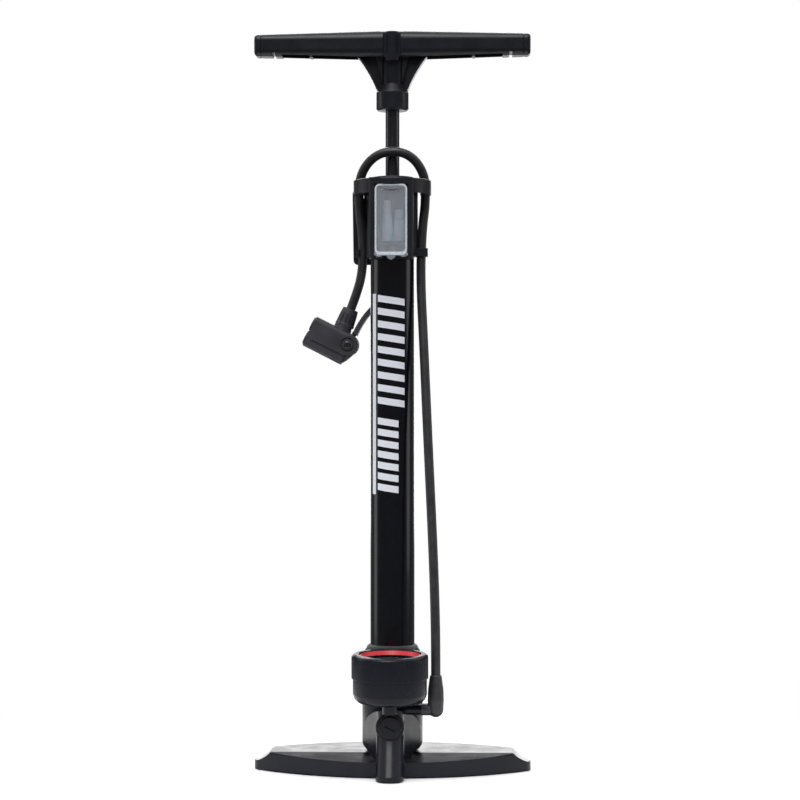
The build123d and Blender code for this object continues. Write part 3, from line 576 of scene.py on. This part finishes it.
def rounded_outline(left, right, low, high, radius):
    """Points (x, z) round a rectangle with round corners."""
    points = []
    corners = ((right, high, 0), (left, high, 90), (left, low, 180), (right, low, 270))
    for x, z, start in corners:
        centre = (x - math.copysign(radius, x), z - radius if z == high else z + radius)
        for step in range(CORNER_STEPS + 1):
            turn = math.radians(start + 90 * step / CORNER_STEPS)
            points.append((centre[0] + radius * math.cos(turn), centre[1] + radius * math.sin(turn)))
    return points


def door_rim(shape):
    """Raised border round the front of the clear door, in milky plastic whose lighter colour is a painted
    highlight for the bright glow along the door's edges.
    """
    low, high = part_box("adapter_door")

    def loop(inset, foot, height):
        outline = rounded_outline(low[0] + inset, high[0] - inset, low[2] + foot, high[2] - inset,
                                  DOOR_CORNER - inset)
        return [shape.verts.new((x, DOOR_FACE_Y - height, z)) for x, z in outline]

    outer_foot = FACE_LAP + DOOR_NUB
    inner_foot = RIM_FOOT + DOOR_NUB
    shoulder = RIM_PROUD - RIM_BEVEL
    rows = [
        loop(FACE_LAP, outer_foot, -FACE_LAP),
        loop(FACE_LAP, outer_foot, shoulder),
        loop(FACE_LAP + RIM_BEVEL, outer_foot + RIM_BEVEL, RIM_PROUD),
        loop(RIM_WIDTH - RIM_BEVEL, inner_foot - RIM_BEVEL, RIM_PROUD),
        loop(RIM_WIDTH, inner_foot, shoulder),
        loop(RIM_WIDTH, inner_foot, -FACE_LAP),
    ]
    for a, b in zip(rows, rows[1:] + rows[:1]):
        for i in range(len(a)):
            j = (i + 1) % len(a)
            shape.faces.new((a[i], a[j], b[j], b[i]))


def add_door_rim():
    new_piece("door_rim", mesh_of("door_rim", door_rim), DOOR_EDGE_HIGHLIGHT, "door")


# ---------------------------------------------------------------- valve spring
WIRE_RADIUS = 0.35 * MM
SPRING_TURNS = 6.1
STEPS_PER_TURN = 24
WIRE_SIDES = 8


def coil_spring(shape):
    """Wire coil that fills the CAD spring's box, along Y."""
    low, high = (Vector(corner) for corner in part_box("valve_spring"))
    middle = (low + high) / 2
    radius = (high.x - low.x) / 2 - WIRE_RADIUS
    first, last = high.y - WIRE_RADIUS, low.y + WIRE_RADIUS
    steps = round(SPRING_TURNS * STEPS_PER_TURN)
    rings = []
    for step in range(steps + 1):
        turn = 2 * math.pi * SPRING_TURNS * step / steps
        outward = Vector((math.cos(turn), 0, math.sin(turn)))
        centre = Vector((middle.x, first + (last - first) * step / steps, middle.z)) + outward * radius
        ring = []
        for side in range(WIRE_SIDES):
            round_wire = 2 * math.pi * side / WIRE_SIDES
            offset = outward * math.cos(round_wire) + Vector((0, math.sin(round_wire), 0))
            ring.append(shape.verts.new(centre + offset * WIRE_RADIUS))
        rings.append(ring)
    for a, b in zip(rings, rings[1:]):
        for i in range(WIRE_SIDES):
            j = (i + 1) % WIRE_SIDES
            shape.faces.new((a[i], a[j], b[j], b[i]))
    shape.faces.new(rings[0][::-1])
    shape.faces.new(rings[-1])


def add_valve_spring():
    """Wire coil in place of the CAD spring, given a mesh of its own."""
    spring = new_piece("check_spring", mesh_of("check_spring", coil_spring), ZINC, "root")
    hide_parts("valve_spring")
    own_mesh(spring)


# ---------------------------------------------------------------- stage
FLOOR_RADIUS = 0.48
FLOOR_SIDES = 96
ROOM_LIGHT = 0.14           # brightness of the room round the stage, against 1 for the white behind it
BACKDROP_LIGHT = 2.2
AIM = Vector((0, 0, 0.32))


def aimed(data, name, place, target):
    """Light that shines from its place towards the target."""
    light = bpy.data.objects.new(name, data)
    light.location = place
    light.rotation_euler = (target - Vector(place)).to_track_quat("-Z", "Y").to_euler()
    bpy.context.collection.objects.link(light)


def soft_box(name, place, wide, high, brightness, target=AIM):
    """Soft box whose face has the given brightness."""
    data = bpy.data.lights.new(name, "AREA")
    data.shape = "RECTANGLE"
    data.size = wide
    data.size_y = high
    data.energy = brightness * math.pi * wide * high
    aimed(data, name, place, target)


def far_light(name, place, strength, spread):
    """Parallel light softened over a spread in degrees, as from a large distant silk."""
    data = bpy.data.lights.new(name, "SUN")
    data.energy = strength
    data.angle = math.radians(spread)
    aimed(data, name, place, AIM)


def add_room():
    """White where the camera looks past the floor, and a dim room for what the surfaces mirror."""
    world = bpy.data.worlds.new("studio")
    world.use_nodes = True
    tree = world.node_tree
    rays = tree.nodes.new("ShaderNodeLightPath")
    strength = tree.nodes.new("ShaderNodeMapRange")
    strength.inputs["To Min"].default_value = ROOM_LIGHT
    strength.inputs["To Max"].default_value = 1.0
    tree.links.new(rays.outputs["Is Camera Ray"], strength.inputs["Value"])
    background = tree.nodes["Background"]
    background.inputs["Color"].default_value = WHITE
    tree.links.new(strength.outputs["Result"], background.inputs["Strength"])
    bpy.context.scene.world = world


def add_floor():
    def build(shape):
        bmesh.ops.create_circle(shape, cap_ends=True, segments=FLOOR_SIDES, radius=FLOOR_RADIUS)

    graph = Graph("studio_floor")
    graph.link(graph.ramp(graph.noise(0.6, 2), [(0.3, 0.87), (0.7, 0.91)]), graph.shader.inputs["Base Color"])
    graph.set(Roughness=0.8)
    mesh = mesh_of("studio_floor", build)
    mesh.materials.append(graph.material)
    floor = bpy.data.objects.new("studio_floor", mesh)
    bpy.context.collection.objects.link(floor)


def add_stage():
    add_floor()
    add_room()
    soft_box("backdrop", (0, 3.2, 0.45), 2.6, 0.9, BACKDROP_LIGHT, Vector((0, 0, 0.45)))
    soft_box("left_box", (-1.8, 0.2, 0.6), 0.8, 1.4, 1.3)
    soft_box("right_box", (1.9, 0.1, 0.7), 0.8, 1.4, 1.1)
    soft_box("top_back_box", (-0.2, 1.8, 1.9), 1.9, 1.1, 5.0)
    far_light("overhead", (0, 0, 2.6), 2.6, 124)
    far_light("front_key", (-0.3, -1.8, 2.5), 1.7, 34)
    bpy.context.scene.view_settings.view_transform = "Standard"


# ---------------------------------------------------------------- making
add_camera()
add_hose()
finish_cad_nodes()
add_barrel_print()
add_dial_marks()
add_door_rim()
add_valve_spring()
add_stage()
